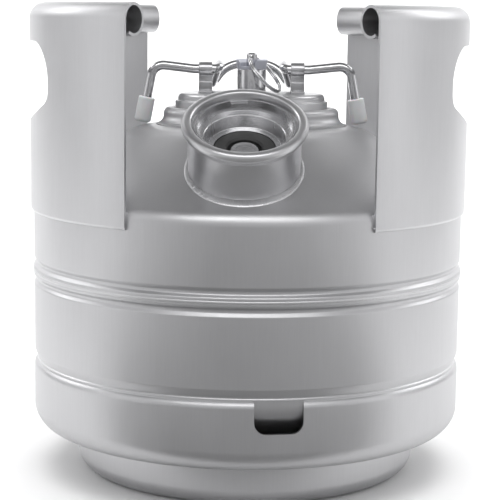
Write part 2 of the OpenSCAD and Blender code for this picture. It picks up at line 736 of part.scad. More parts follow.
module pull_ring() {
    color(bright_steel) at_hatch() translate([0, 0, ring_hole_z]) rotate([0, ring_slope, ring_turn])
        translate([ring_r, 0, 0]) rotate_extrude()
            translate([ring_r, 0]) circle(ring_wire_r, $fn = 24);
}

// --------------------------------------------------------------- assembly

upper_shell();
lower_shell();
girth_weld();
base_skirt();
skirt_weld();
left_handle();
right_handle();
left_handle_weld();
right_handle_weld();
coupler_neck();
neck_weld();
spear_housing();
snap_ring();
neck_gasket();
valve_seal();
valve_cup();
valve_plunger();
gas_spring();
product_spring();
spear_tube();
hatch_collar();
lid();
lid_seal();
left_bracket();
right_bracket();
bail();
left_foot_cap();
right_foot_cap();
relief_body();
relief_nut();
relief_cap();
relief_seal();
relief_stem();
relief_spring();
pull_ring();
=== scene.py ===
"""Looks of the small steel keg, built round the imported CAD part. Lengths are in millimetres."""

import json
import math
import random

import bmesh
import bpy
from mathutils import Matrix, Vector


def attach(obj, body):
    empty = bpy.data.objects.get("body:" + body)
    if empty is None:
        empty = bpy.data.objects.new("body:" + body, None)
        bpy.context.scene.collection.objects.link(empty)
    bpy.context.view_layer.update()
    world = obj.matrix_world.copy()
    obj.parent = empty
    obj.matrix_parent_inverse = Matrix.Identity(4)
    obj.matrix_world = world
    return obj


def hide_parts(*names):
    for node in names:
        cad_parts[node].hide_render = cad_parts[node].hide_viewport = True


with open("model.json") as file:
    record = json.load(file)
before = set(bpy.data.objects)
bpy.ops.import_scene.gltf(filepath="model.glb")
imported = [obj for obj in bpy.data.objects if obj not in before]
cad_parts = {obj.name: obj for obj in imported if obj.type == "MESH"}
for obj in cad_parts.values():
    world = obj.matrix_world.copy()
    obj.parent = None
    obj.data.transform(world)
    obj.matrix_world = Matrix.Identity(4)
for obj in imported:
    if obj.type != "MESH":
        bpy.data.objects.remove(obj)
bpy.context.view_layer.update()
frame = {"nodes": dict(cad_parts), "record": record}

MM = 0.001

# ---------------------------------------------------------------- driving sizes

BODY_R = 117.5            # vessel wall
SHELL_T = 1.5
SEAM_Z = 110.3            # girth seam
WALL_TOP_Z = 146.8        # where the shoulder knuckle starts
KNUCKLE_R = 9
SHOULDER_SLOPE = 33.5     # degrees below level
CROWN_Z = 188.2
CROWN_BLEND_R = 27

SKIRT_R = 117.7
SKIRT_TOP_Z = 61.5
SKIRT_T = 1.8
STEP_Z = 24
FOOT_R = 93.5
FOOT_LIP_R = 78
DRAIN_W = 24.6
DRAIN_TURN = 7.4          # degrees to the right of the front

HANDLE_R = 119.1
HANDLE_T = 1.5
HANDLE_LOW_Z = 144.5
TOTAL_H = 254
HANDLE_HALF_TURN = 58.8
CURL_R = 8.3
CURL_TURN = 305

RIM_FACE = Vector((-3, -95, 197))   # centre of the neck rim's top face
NECK_TILT = 29
RIM_R = 31.5
NECK_R = 28.25
NECK_BORE_R = 26.5
NECK_LEN = 37
HOUSING_R = 24.8
FLOOR_S = -15.6           # depth of the spear head's floor below the rim face

HATCH = Vector((1.4, 11, 0))
HATCH_A = 43.7            # half the long opening
HATCH_B = 37.5            # half the short opening
END_ARC_R = 30
COLLAR_TOP_Z = 197.8
LID_TOP_Z = 205.7
TIER_Z = 201.6
WIRE_R = 2.65
BAIL_Z = 218.7
BRACKET_X = 25.5

# ------------------------------------------------------------- outlines and meshes


def arc(centre, r, a0, a1, n=12):
    """Points of an arc about centre from angle a0 to a1, in degrees."""
    turns = [math.radians(a0 + (a1 - a0) * i / n) for i in range(n + 1)]
    return [(centre[0] + r * math.cos(a), centre[1] + r * math.sin(a)) for a in turns]


def filleted(points, radius, closed=True, n=5):
    """The outline with each sharp corner rounded to radius, as far as its edges allow."""
    count = len(points)
    out = []
    for i, here in enumerate(points):
        if not closed and i in (0, count - 1):
            out.append(here)
            continue
        p = Vector(here)
        u = Vector(points[i - 1]) - p
        v = Vector(points[(i + 1) % count]) - p
        if u.length < 1e-6 or v.length < 1e-6:
            continue
        turn = math.pi - u.angle(v)
        if turn < math.radians(14):
            out.append(here)
            continue
        trim = min(radius * math.tan(turn / 2), u.length * 0.45, v.length * 0.45)
        start, end = p + u.normalized() * trim, p + v.normalized() * trim
        for k in range(n + 1):
            t = k / n
            q = start * (1 - t) ** 2 + p * 2 * t * (1 - t) + end * t ** 2
            out.append((q.x, q.y))
    return out


def piece(name, bm, body, slot, replaced=(), place=None, material=None):
    """Turns a bmesh in millimetres into an object that rides on a CAD body."""
    bmesh.ops.remove_doubles(bm, verts=bm.verts, dist=1e-4)
    bmesh.ops.dissolve_degenerate(bm, dist=1e-5, edges=bm.edges)
    bmesh.ops.recalc_face_normals(bm, faces=bm.faces)
    mesh = bpy.data.meshes.new(name)
    bm.to_mesh(mesh)
    bm.free()
    mesh.transform(Matrix.Scale(MM, 4) @ (place or Matrix.Identity(4)))
    mesh.shade_smooth()
    mesh.set_sharp_from_angle(angle=math.radians(32))
    obj = bpy.data.objects.new(name, mesh)
    bpy.context.scene.collection.objects.link(obj)
    mesh.materials.append(MATERIALS[material or slot])
    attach(obj, body)
    if replaced:
        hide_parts(*replaced)
    return obj


def skin_rings(bm, rings, closed_ring, closed_along):
    """Quads between neighbouring rings of points."""
    rows = [[bm.verts.new(p) for p in ring] for ring in rings]
    pairs = list(zip(rows, rows[1:])) + ([(rows[-1], rows[0])] if closed_along else [])
    for a, b in pairs:
        n = len(a)
        for i in range(n if closed_ring else n - 1):
            k = (i + 1) % n
            bm.faces.new((a[i], a[k], b[k], b[i]))
    return rows


def lathe(profile, steps=288, start=0.0, sweep=360.0, wobble=None):
    """A closed profile of (radius, height) turned about Z, capped where it isn't a full turn."""
    bm = bmesh.new()
    full = sweep >= 360
    rings = []
    for i in range(steps if full else steps + 1):
        turn = start + sweep * i / steps
        c, s = math.cos(math.radians(turn)), math.sin(math.radians(turn))
        extra = wobble(turn) if wobble else 0
        rings.append([((r + extra) * c, (r + extra) * s, z) for r, z in profile])
    rows = skin_rings(bm, rings, True, full)
    if not full:
        bm.faces.new(rows[0])
        bm.faces.new(rows[-1])
    return bm


def carried_frames(line):
    """Two directions across the line at each point, carried along without twist."""
    frames = []
    across = Vector((0, 1, 0))
    for i in range(len(line)):
        along = (line[min(i + 1, len(line) - 1)] - line[max(i - 1, 0)]).normalized()
        across = (across - along * across.dot(along))
        if across.length < 1e-3:
            across = along.orthogonal()
        across.normalize()
        frames.append((across.copy(), along.cross(across)))
    return frames


def bar(line, r, sides=28, closed=False, round_ends=True):
    """A round bar along a line of points, with rounded ends."""
    bm = bmesh.new()
    rings = []
    for p, (u, v) in zip(line, carried_frames(line)):
        turns = [2 * math.pi * j / sides for j in range(sides)]
        rings.append([p + r * (u * math.cos(a) + v * math.sin(a)) for a in turns])
    if round_ends and not closed:
        for end, inner in ((0, 1), (-1, -2)):
            outward = (line[end] - line[inner]).normalized()
            caps = []
            for k in range(1, 5):
                a = math.radians(88) * k / 4
                caps.append([line[end] + (q - line[end]) * math.cos(a) + outward * r * math.sin(a)
                             for q in rings[end]])
            rings = list(reversed(caps)) + rings if end == 0 else rings + caps
    rows = skin_rings(bm, rings, True, closed)
    if not closed:
        bm.faces.new(rows[0])
        bm.faces.new(rows[-1])
    return bm


def rounded_line(points, bends, steps=14):
    """A line of corners with each corner rounded to its own bend radius."""
    out = [points[0]]
    for i in range(1, len(points) - 1):
        u = (points[i] - points[i - 1]).normalized()
        v = (points[i + 1] - points[i]).normalized()
        turn = u.angle(v)
        side = v - u * u.dot(v)
        inward = side.normalized()
        centre = points[i] - u * bends[i] * math.tan(turn / 2) + inward * bends[i]
        for k in range(steps + 1):
            a = turn * k / steps
            out.append(centre + bends[i] * (u * math.sin(a) - inward * math.cos(a)))
    out.append(points[-1])
    return out


def filled_in(line, gap):
    """The same line with points no further apart than gap."""
    out = [line[0]]
    for a, b in zip(line, line[1:]):
        n = max(1, math.ceil((b - a).length / gap))
        out += [a.lerp(b, k / n) for k in range(1, n + 1)]
    return out


def weld_bead(line, normals, width, height, pitch, closed, seed):
    """A rippled bead laid along a line: each ripple is a small raised crescent.

    width is one number, or a list with one for each point of the line.
    """
    rng = random.Random(seed)
    sides = 14
    bm = bmesh.new()
    rings = []
    travelled = 0
    swell = [rng.uniform(0.85, 1.15) for _ in range(400)]
    for i, (p, n) in enumerate(zip(line, normals)):
        ahead = line[(i + 1) % len(line)] if closed or i + 1 < len(line) else p
        behind = line[i - 1] if closed or i else p
        along = (ahead - behind).normalized()
        travelled += (p - behind).length if i else 0
        across = along.cross(n).normalized()
        ripple, part = divmod(travelled / pitch, 1.0)
        grow = swell[int(ripple) % 400] * (0.8 + 0.2 * math.sin(math.pi * part))
        half = (width[i] if isinstance(width, list) else width) / 2
        ring = []
        for j in range(sides):
            a = 2 * math.pi * j / sides
            lag = along * (0.45 * pitch * (math.cos(a) ** 2))
            ring.append(p + across * (half * math.cos(a) * (0.92 + 0.08 * grow))
                        + n * (height * grow * math.sin(a)) - lag)
        rings.append(ring)
    rows = skin_rings(bm, rings, True, closed)
    if not closed:
        bm.faces.new(rows[0])
        bm.faces.new(rows[-1])
    return bm


def cut_by(obj, cutter_bm, name):
    """Cuts a hole through obj with a closed mesh, which then isn't shown."""
    bmesh.ops.recalc_face_normals(cutter_bm, faces=cutter_bm.faces)
    mesh = bpy.data.meshes.new(name)
    cutter_bm.to_mesh(mesh)
    cutter_bm.free()
    mesh.transform(Matrix.Scale(MM, 4))
    cutter = bpy.data.objects.new(name, mesh)
    bpy.context.scene.collection.objects.link(cutter)
    hole = obj.modifiers.new(name, "BOOLEAN")
    hole.operation = "DIFFERENCE"
    hole.solver = "EXACT"
    hole.object = cutter
    baked = bpy.data.meshes.new_from_object(
        obj.evaluated_get(bpy.context.evaluated_depsgraph_get()))
    obj.modifiers.clear()
    obj.data = baked
    bpy.data.objects.remove(cutter)
    rounded = obj.modifiers.new("rounded edges", "BEVEL")
    rounded.width = 0.35 * MM
    rounded.segments = 3
    rounded.limit_method = "ANGLE"
    rounded.angle_limit = math.radians(40)
    rounded.harden_normals = True


def prism(outline, half_depth, place):
    """A closed prism over an outline, moved into place."""
    bm = bmesh.new()
    low = [bm.verts.new(place @ Vector((x, y, -half_depth))) for x, y in outline]
    high = [bm.verts.new(place @ Vector((x, y, half_depth))) for x, y in outline]
    n = len(outline)
    bm.faces.new(low)
    bm.faces.new(list(reversed(high)))
    for i in range(n):
        k = (i + 1) % n
        bm.faces.new((low[i], high[i], high[k], low[k]))
    return bm


def joined(parts):
    """One mesh holding several, so that a single cut makes all their holes."""
    whole = bmesh.new()
    for part in parts:
        mesh = bpy.data.meshes.new("part")
        part.to_mesh(mesh)
        part.free()
        whole.from_mesh(mesh)
        bpy.data.meshes.remove(mesh)
    return whole


# --------------------------------------------------------------------- materials


def node_tree(name):
    material = bpy.data.materials.new(name)
    material.use_nodes = True
    tree = material.node_tree
    shader = tree.nodes["Principled BSDF"]
    return material, tree, shader


def noise(tree, scale, stretch, detail=4.0, rough=0.55):
    """Noise in the object's own space, stretched along its axes."""
    place = tree.nodes.new("ShaderNodeTexCoord")
    squeeze = tree.nodes.new("ShaderNodeMapping")
    squeeze.inputs["Scale"].default_value = stretch
    grain = tree.nodes.new("ShaderNodeTexNoise")
    grain.inputs["Scale"].default_value = scale
    grain.inputs["Detail"].default_value = detail
    grain.inputs["Roughness"].default_value = rough
    tree.links.new(place.outputs["Object"], squeeze.inputs["Vector"])
    tree.links.new(squeeze.outputs["Vector"], grain.inputs["Vector"])
    return grain.outputs["Fac"]


def spread(tree, value, low, high):
    """Maps the middle of a noise onto low to high."""
    ramp = tree.nodes.new("ShaderNodeMapRange")
    ramp.inputs["From Min"].default_value = 0.3
    ramp.inputs["From Max"].default_value = 0.7
    ramp.inputs["To Min"].default_value = low
    ramp.inputs["To Max"].default_value = high
    tree.links.new(value, ramp.inputs["Value"])
    return ramp.outputs["Result"]


def blended(tree, a, b, operation="MULTIPLY"):
    node = tree.nodes.new("ShaderNodeMath")
    node.operation = operation
    tree.links.new(a, node.inputs[0])
    tree.links.new(b, node.inputs[1])
    return node.outputs["Value"]


def tinted(tree, value, dark, light):
    """A colour between dark and light, chosen by a noise."""
    mix = tree.nodes.new("ShaderNodeMix")
    mix.data_type = "RGBA"
    mix.inputs["A"].default_value = (*dark, 1)
    mix.inputs["B"].default_value = (*light, 1)
    tree.links.new(value, mix.inputs["Factor"])
    return mix.outputs["Result"]


def bumped(tree, shader, height, distance, strength=1.0, under=None):
    bump = tree.nodes.new("ShaderNodeBump")
    bump.inputs["Distance"].default_value = distance * MM
    bump.inputs["Strength"].default_value = strength
    tree.links.new(height, bump.inputs["Height"])
    if under:
        tree.links.new(under, bump.inputs["Normal"])
    tree.links.new(bump.outputs["Normal"], shader.inputs["Normal"])
    return bump.outputs["Normal"]


def metal(name, tone, rough, grain=(1, 1, 1), grain_scale=900, grain_bump=0.01, blotch=0.06):
    """Steel with a fine grain, soft uneven patches and a few handling scratches."""
    material, tree, shader = node_tree(name)
    shader.inputs["Metallic"].default_value = 1.0
    patches = noise(tree, 22, (1, 1, 0.6), 5)
    fine = noise(tree, grain_scale, grain, 3)
    scratch = noise(tree, 420, (1, 1, 0.03), 2, 0.4)
    dark = [max(0, c - blotch) for c in tone]
    light = [min(1, c + blotch) for c in tone]
    both = blended(tree, spread(tree, patches, 0.35, 0.65), spread(tree, fine, -0.07, 0.07), "ADD")
    tree.links.new(tinted(tree, both, dark, light), shader.inputs["Base Color"])
    uneven = blended(tree, spread(tree, patches, rough * 0.88, rough * 1.1),
                     spread(tree, scratch, 0.97, 1.03))
    tree.links.new(uneven, shader.inputs["Roughness"])
    bumped(tree, shader, fine, grain_bump)
    return material


def plastic(name, dark, light, rough, scale=260, depth=0.02, soft=0.0):
    """Moulded plastic or rubber with a faint texture and uneven sheen."""
    material, tree, shader = node_tree(name)
    patches = noise(tree, 60, (1, 1, 1), 4)
    fine = noise(tree, scale, (1, 1, 1), 3)
    tree.links.new(tinted(tree, spread(tree, patches, 0.1, 0.9), dark, light),
                   shader.inputs["Base Color"])
    tree.links.new(spread(tree, fine, rough * 0.85, rough * 1.15), shader.inputs["Roughness"])
    shader.inputs["Subsurface Weight"].default_value = soft
    shader.inputs["Subsurface Scale"].default_value = 2 * MM
    bumped(tree, shader, fine, depth)
    return material


VERTICAL = (1, 1, 0.04)
MATERIALS = {
    "vessel_steel": metal("vessel steel", (0.53, 0.53, 0.54), 0.43, VERTICAL, 1500, 0.006),
    "handle_steel": metal("handle steel", (0.55, 0.55, 0.56), 0.43, VERTICAL, 1500, 0.005),
    "weld_metal": metal("weld metal", (0.60, 0.60, 0.61), 0.42, (1, 1, 1), 1400, 0.03),
    "neck_steel": metal("neck steel", (0.56, 0.56, 0.57), 0.38, (1, 1, 1), 1600, 0.004),
    "spear_steel": metal("spear steel", (0.62, 0.62, 0.63), 0.28, (1, 1, 1), 1500, 0.003, 0.03),
    "spring_steel": metal("spring steel", (0.60, 0.60, 0.61), 0.28),
    "lid_steel": metal("lid steel", (0.52, 0.52, 0.53), 0.33, (1, 1, 1), 1500, 0.006),
    "polished_wire": metal("polished wire", (0.56, 0.56, 0.57), 0.17, (1, 1, 1), 900, 0.003, 0.03),
    "relief_steel": metal("relief steel", (0.56, 0.56, 0.57), 0.20, VERTICAL, 1500, 0.004, 0.03),
    "black_rubber": plastic("black rubber", (0.012, 0.012, 0.012), (0.03, 0.03, 0.03), 0.5),
    "white_cap": plastic("white cap", (0.56, 0.57, 0.58), (0.66, 0.67, 0.68), 0.42, 300, 0.02, 0.25),
    "relief_cap": plastic("relief cap", (0.36, 0.37, 0.42), (0.44, 0.45, 0.50), 0.45, 900, 0.02),
}

slot_of = {s["node"]: s["material_slot"] for s in frame["record"]["subparts"]}
for node_name, cad_object in frame["nodes"].items():
    for place in cad_object.material_slots:
        place.material = MATERIALS[slot_of[node_name]]

# ------------------------------------------------------------------------ vessel


def vessel_outlines():
    """Outer and inner outlines of the two shells, as closed profiles."""
    bead_r, groove_r, groove_dz, weld_half = BODY_R + 0.5, BODY_R - 1.3, 4.55, 0.8
    knuckle = (BODY_R - KNUCKLE_R, WALL_TOP_Z)
    slope = math.radians(SHOULDER_SLOPE)
    cone_r = knuckle[0] + KNUCKLE_R * math.sin(slope)
    cone_z = knuckle[1] + KNUCKLE_R * math.cos(slope)
    corner_r = cone_r - (CROWN_Z - cone_z) / math.tan(slope)
    blend = (corner_r - CROWN_BLEND_R * math.tan(slope / 2), CROWN_Z - CROWN_BLEND_R)

    def upper(t):
        band = [(bead_r - t, SEAM_Z + weld_half), (bead_r - t, SEAM_Z + 2.2),
                (groove_r - t, SEAM_Z + groove_dz - 0.8), (groove_r - t, SEAM_Z + groove_dz + 0.8),
                (BODY_R - t, SEAM_Z + groove_dz + 2.6), (BODY_R - t, WALL_TOP_Z - 8)]
        return (filleted(band, 1.4, closed=False)
                + arc(knuckle, KNUCKLE_R - t, 0, 90 - SHOULDER_SLOPE, 16)
                + arc(blend, CROWN_BLEND_R - t, 90 - SHOULDER_SLOPE, 90, 14)
                + [(30, CROWN_Z - t), (0, CROWN_Z - t)])

    lap_r = SKIRT_R - SKIRT_T
    low_r, low_z, dish_slope = 14, 59, 28
    low_c = (lap_r - low_r, low_z)
    dish_turn = math.radians(dish_slope)
    dish_r = (low_c[0] + low_r * math.sin(dish_turn)) / math.sin(dish_turn)
    dish_z = low_z + (dish_r - low_r) * math.cos(dish_turn)

    def lower(t):
        band = [(bead_r - t, SEAM_Z - weld_half), (bead_r - t, SEAM_Z - 2.2),
                (groove_r - t, SEAM_Z - groove_dz + 0.8), (groove_r - t, SEAM_Z - groove_dz - 0.8),
                (BODY_R - t, SEAM_Z - groove_dz - 2.6), (BODY_R - t, 67),
                (BODY_R - 0.5 - t, 65.4), (lap_r - t, 63), (lap_r - t, 60)]
        return (filleted(band, 1.4, closed=False)
                + arc(low_c, low_r - t, 0, dish_slope - 90, 18)
                + arc((0, dish_z), dish_r - t, dish_slope - 90, -90, 12))

    return (upper(0) + upper(SHELL_T)[::-1], lower(0) + lower(SHELL_T)[::-1])


def make_vessel():
    upper, lower = vessel_outlines()
    shell = piece("shell_upper", lathe(upper), "keg", "vessel_steel", ["upper_shell"])
    neck_hole = prism(arc((0, 0), NECK_R - 0.1, 0, 357, 119), 20,
                      NECK @ Matrix.Translation((0, 0, -32)))
    collar_middle = 2.5
    oval = [oval_point(math.radians(a), collar_middle) for a in range(0, 360, 2)]
    hatch_hole = prism(oval, 15, AT_HATCH @ Matrix.Translation((0, 0, CROWN_Z)))
    cut_by(shell, joined([neck_hole, hatch_hole]), "shell openings")
    piece("shell_lower", lathe(lower), "keg", "vessel_steel", ["lower_shell"])
    bead_r = BODY_R + 0.5
    bead = ([(bead_r - 1.8, SEAM_Z - 0.8), (bead_r, SEAM_Z - 0.8)]
            + arc((bead_r - 1.1, SEAM_Z), 1.25, -36, 36, 8)
            + [(bead_r, SEAM_Z + 0.8), (bead_r - 1.8, SEAM_Z + 0.8)])
    ripple_h, ripples_per_degree = 0.05, 1

    def ripple(turn):
        return ripple_h * abs(math.sin(math.radians(turn * 180 * ripples_per_degree)))

    piece("girth_bead", lathe(bead, 1440, wobble=ripple), "keg", "weld_metal", ["girth_weld"])


def make_skirt():
    corner, foot_corner, step_fillet = 12, 9, 4
    lip_r = 4.4
    lip = [(SKIRT_R - SKIRT_T, SKIRT_TOP_Z), (SKIRT_R - SKIRT_T + 0.1, SKIRT_TOP_Z - 0.2)]
    lip += arc((SKIRT_R - lip_r, SKIRT_TOP_Z - lip_r), lip_r, 50, 0, 10)

    def outline(t):
        return (arc((SKIRT_R - corner, STEP_Z + corner), corner - t, 0, -90, 16)
                + arc((FOOT_R + step_fillet, STEP_Z - step_fillet), step_fillet + t, 90, 180, 10)
                + arc((FOOT_R - foot_corner, foot_corner), foot_corner - t, 0, -90, 16)
                + [(FOOT_LIP_R, t)])

    profile = lip + outline(0) + outline(SKIRT_T)[::-1]
    skirt = piece("skirt", lathe(profile), "keg", "vessel_steel", ["base_skirt"])
    half, low, r, flare, high = DRAIN_W / 2, 44.7, 6, 1.6, 80
    slot = (arc((-half + r, low + r), r, 180, 270, 8) + arc((half - r, low + r), r, 270, 360, 8)
            + arc((half + flare, SKIRT_TOP_Z - flare), flare, 180, 90, 5)
            + [(half + flare, high), (-half - flare, high)]
            + arc((-half - flare, SKIRT_TOP_Z - flare), flare, 90, 0, 5))
    facing = Matrix.Translation((0, -SKIRT_R, 0)) @ Matrix.Rotation(math.radians(90), 4, "X")
    slots = [prism(slot, 10, Matrix.Rotation(math.radians(turn), 4, "Z") @ facing)
             for turn in (DRAIN_TURN, DRAIN_TURN + 180)]
    cut_by(skirt, joined(slots), "drain slots")


# ----------------------------------------------------------------------- handles


def hand_hole():
    """Outline of the hand hole as seen from the side: (y, z)."""
    top, low, half, corner = 233.7, 190.7, 58.5, 20
    bow_r, low_corner = 136, 8
    bow_c = (0, low + bow_r)
    lx = half - low_corner
    lz = bow_c[1] - math.sqrt((bow_r - low_corner) ** 2 - lx ** 2)
    turn = math.degrees(math.atan2(lz - bow_c[1], lx))
    right = (arc((half - corner, top - corner), corner, 90, 0, 14)
             + arc((lx, lz), low_corner, 0, turn, 10) + arc(bow_c, bow_r, turn, -90, 14)[1:])
    left = [(-y, z) for y, z in reversed(right[:-1])]
    return right + left


def make_handle(side):
    word = "right" if side > 0 else "left"
    curl_c = (HANDLE_R - CURL_R, TOTAL_H - CURL_R)
    inner_r = HANDLE_R - HANDLE_T
    outline = ([(inner_r, HANDLE_LOW_Z), (HANDLE_R, HANDLE_LOW_Z)]
               + [(HANDLE_R, z) for z in (170, 190, 210, 230)]
               + arc(curl_c, CURL_R, 0, CURL_TURN, 44)
               + arc(curl_c, CURL_R - HANDLE_T, 0, CURL_TURN, 44)[::-1]
               + [(inner_r, z) for z in (230, 210, 190, 170)])
    start = (0 if side > 0 else 180) - HANDLE_HALF_TURN
    sheet = piece(word + "_handle_sheet", lathe(outline, 150, start, 2 * HANDLE_HALF_TURN),
                  "keg", "handle_steel", [word + "_handle"])
    # the prism's depth runs along X and its outline lies in Y and Z
    place = Matrix(((0, 0, 1, side * (HANDLE_R - 20)), (1, 0, 0, 0), (0, 1, 0, 0), (0, 0, 0, 1)))
    cut_by(sheet, prism(hand_hole(), 40, place), word + " hand hole")
    turns = [math.radians(start + 2 * HANDLE_HALF_TURN * i / 400) for i in range(401)]
    line = [Vector((BODY_R * math.cos(a), BODY_R * math.sin(a), HANDLE_LOW_Z)) for a in turns]
    normals = [Vector((math.cos(a), math.sin(a), -1)).normalized() for a in turns]
    piece(word + "_lower_bead", weld_bead(line, normals, 2.8, 1.0, 2.4, False, 3 + side),
          "keg", "weld_metal")


# -------------------------------------------------------------------------- neck

NECK = Matrix.Translation(RIM_FACE) @ Matrix.Rotation(math.radians(NECK_TILT), 4, "X")


def dome_z(r):
    """Height of the upper shell's outer face at radius r."""
    slope = math.radians(SHOULDER_SLOPE)
    cone_r = BODY_R - KNUCKLE_R + KNUCKLE_R * math.sin(slope)
    cone_z = WALL_TOP_Z + KNUCKLE_R * math.cos(slope)
    corner_r = cone_r - (CROWN_Z - cone_z) / math.tan(slope)
    flat_r = corner_r - CROWN_BLEND_R * math.tan(slope / 2)
    if r < flat_r:
        return CROWN_Z
    if r < flat_r + CROWN_BLEND_R * math.sin(slope):
        return CROWN_Z - CROWN_BLEND_R + math.sqrt(CROWN_BLEND_R ** 2 - (r - flat_r) ** 2)
    if r < cone_r:
        return cone_z + (cone_r - r) * math.tan(slope)
    return WALL_TOP_Z + math.sqrt(max(0, KNUCKLE_R ** 2 - (r - BODY_R + KNUCKLE_R) ** 2))


def wall_meets_dome(turn, radius):
    """Where a line down the neck's wall at this turn meets the dome."""
    low, high = -45.0, -10.0
    for _ in range(24):
        middle = (low + high) / 2
        p = NECK @ Vector((radius * math.cos(turn), radius * math.sin(turn), middle))
        if p.z > dome_z(math.hypot(p.x, p.y)):
            high = middle
        else:
            low = middle
    return NECK @ Vector((radius * math.cos(turn), radius * math.sin(turn), high))


def make_neck():
    lip = 2.6
    inner = NECK_BORE_R
    profile = ([(inner, -12), (inner, -0.9), (inner + 0.15, -0.6), (inner + 0.6, -0.15),
                (inner + 1, 0)]
               + arc((RIM_R - lip, -lip), lip, 90, -55, 16)
               + [(NECK_R + 0.7, -5.2), (NECK_R + 0.6, -5.6), (NECK_R + 0.45, -6.7),
                  (NECK_R + 0.1, -7.4), (NECK_R, -8), (NECK_R, -NECK_LEN),
                  (23.2, -NECK_LEN), (23.2, -12)])
    piece("neck_ring", lathe(profile, 240), "keg", "neck_steel", ["coupler_neck"], NECK)
    root = NECK_R - 0.3
    side_w, front_w = 2.2, 5.4
    steps = 900
    line, normals, widths = [], [], []
    for i in range(steps):
        turn = 2 * math.pi * i / steps
        width = side_w + (front_w - side_w) * max(0, -math.sin(turn)) ** 2
        near, far = wall_meets_dome(turn, root), wall_meets_dome(turn, root + width)
        ahead = wall_meets_dome(turn + 0.02, root + width / 2)
        line.append(near.lerp(far, 0.5))
        normals.append((far - near).cross(ahead - line[-1]).normalized())
        widths.append((far - near).length)
    piece("neck_bead", weld_bead(line, normals, widths, 0.6, 1.3, True, 11), "keg", "weld_metal",
          ["neck_weld"])


def make_spear():
    ledge, wall = -9.3, 1.2
    head = filleted([
        (HOUSING_R - wall, -3), (HOUSING_R, -3), (HOUSING_R, -10.5), (23, -10.5), (23, -20),
        (19.6, -23), (19.6, -30), (18.4, -30), (18.4, FLOOR_S - 1.4), (15.7, FLOOR_S - 1.4),
        (15.7, FLOOR_S - 0.4), (18.4, FLOOR_S), (20.2, ledge - 0.4), (20.6, ledge),
        (HOUSING_R - wall, ledge + 0.5)], 0.45)
    # a notch in the head's rim
    notch_turn, notch_half_turn, notch_h = 97, 11, 1.6
    bm = lathe(head, 360)
    for v in bm.verts:
        off = math.degrees(math.atan2(v.co.y, v.co.x)) - notch_turn
        if v.co.z > -4.4 and abs(off) < notch_half_turn:
            v.co.z -= notch_h
    piece("spear_head", bm, "keg", "spear_steel", [], NECK)
    seal = filleted([(9.75, -16), (15.3, -16), (15.3, -17.1), (17.4, -17.1), (17.4, -21),
                     (7.75, -21), (7.75, -20), (8.75, -18), (8.75, -17)], 0.4)
    piece("gas_seal", lathe(seal, 160), "gas_valve", "black_rubber", ["valve_seal"], NECK)
    disc = filleted([(0, -17.3), (4.0, -17.15), (4.6, -16.95), (6.7, -16.95), (7.35, -17.4),
                     (7.35, -21.3), (8.3, -21.3), (8.3, -23.3), (3, -23.3), (3, -27.3),
                     (0, -27.3)], 0.35)
    piece("plunger_disc", lathe(disc, 120), "plunger", "spear_steel", ["valve_plunger"], NECK)


# ------------------------------------------------------------------------- hatch


def oval_point(turn, out):
    """Point out from the hatch oval, where the oval's normal points along turn."""
    tip_x = HATCH_A - END_ARC_R
    side_r = (tip_x ** 2 + HATCH_B ** 2 - END_ARC_R ** 2) / (2 * (HATCH_B - END_ARC_R))
    side_y = side_r - HATCH_B
    limit = math.atan2(side_y, tip_x)
    c, s = math.cos(turn), math.sin(turn)
    if abs(c) > math.cos(limit):
        return math.copysign(tip_x, c) + (END_ARC_R + out) * c, (END_ARC_R + out) * s
    return (side_r + out) * c, -math.copysign(side_y, s) + (side_r + out) * s


def oval_skin(profile, loop=True, steps=220):
    """A skin over (outward offset, height) points carried round the hatch oval."""
    bm = bmesh.new()
    turns = [2 * math.pi * i / steps for i in range(steps)]
    rings = [[(*oval_point(a, out), z) for a in turns] for out, z in profile]
    rows = skin_rings(bm, rings, True, loop)
    if not loop:
        bm.faces.new(rows[0])
        bm.faces.new(rows[-1])
    return bm


AT_HATCH = Matrix.Translation(HATCH)


def make_hatch():
    wall, flare, flare_r, shoulder = 5, 9.1, 5, 3.5
    collar = ([(0, 183.5), (wall, 183.5), (wall, CROWN_Z - 0.3), (flare, CROWN_Z - 0.3),
               (flare, CROWN_Z + 0.3)]
              + arc((wall + flare_r - 0.1, CROWN_Z + 0.4 + flare_r), flare_r, 262, 180, 12)
              + arc((wall - 0.1 - shoulder, COLLAR_TOP_Z - shoulder), shoulder, 0, 90, 12)
              + arc((1, COLLAR_TOP_Z - 1), 1, 90, 180, 6))
    piece("collar", oval_skin(collar), "keg", "vessel_steel", ["hatch_collar"], AT_HATCH)
    t, tier, plate, edge = 2, -1.5, -3, 3
    flange, flange_z = 3.8, 181
    top = ([(plate - edge, LID_TOP_Z - t), (plate - t, LID_TOP_Z - edge), (plate - t, TIER_Z - t),
            (tier - t, TIER_Z - t), (tier - t, flange_z - t), (flange, flange_z - t),
            (flange, flange_z), (tier, flange_z)]
           + arc((tier - 0.8, TIER_Z - 0.8), 0.8, 0, 90, 6)
           + arc((plate + 0.5, TIER_Z + 0.5), 0.5, 270, 180, 4)
           + arc((plate - edge, LID_TOP_Z - edge), edge, 0, 90, 12)
           + [(plate - edge - 8, LID_TOP_Z), (plate - edge - 18, LID_TOP_Z)])
    piece("lid_plate", oval_skin(top, loop=False), "lid", "lid_steel", ["lid"], AT_HATCH)


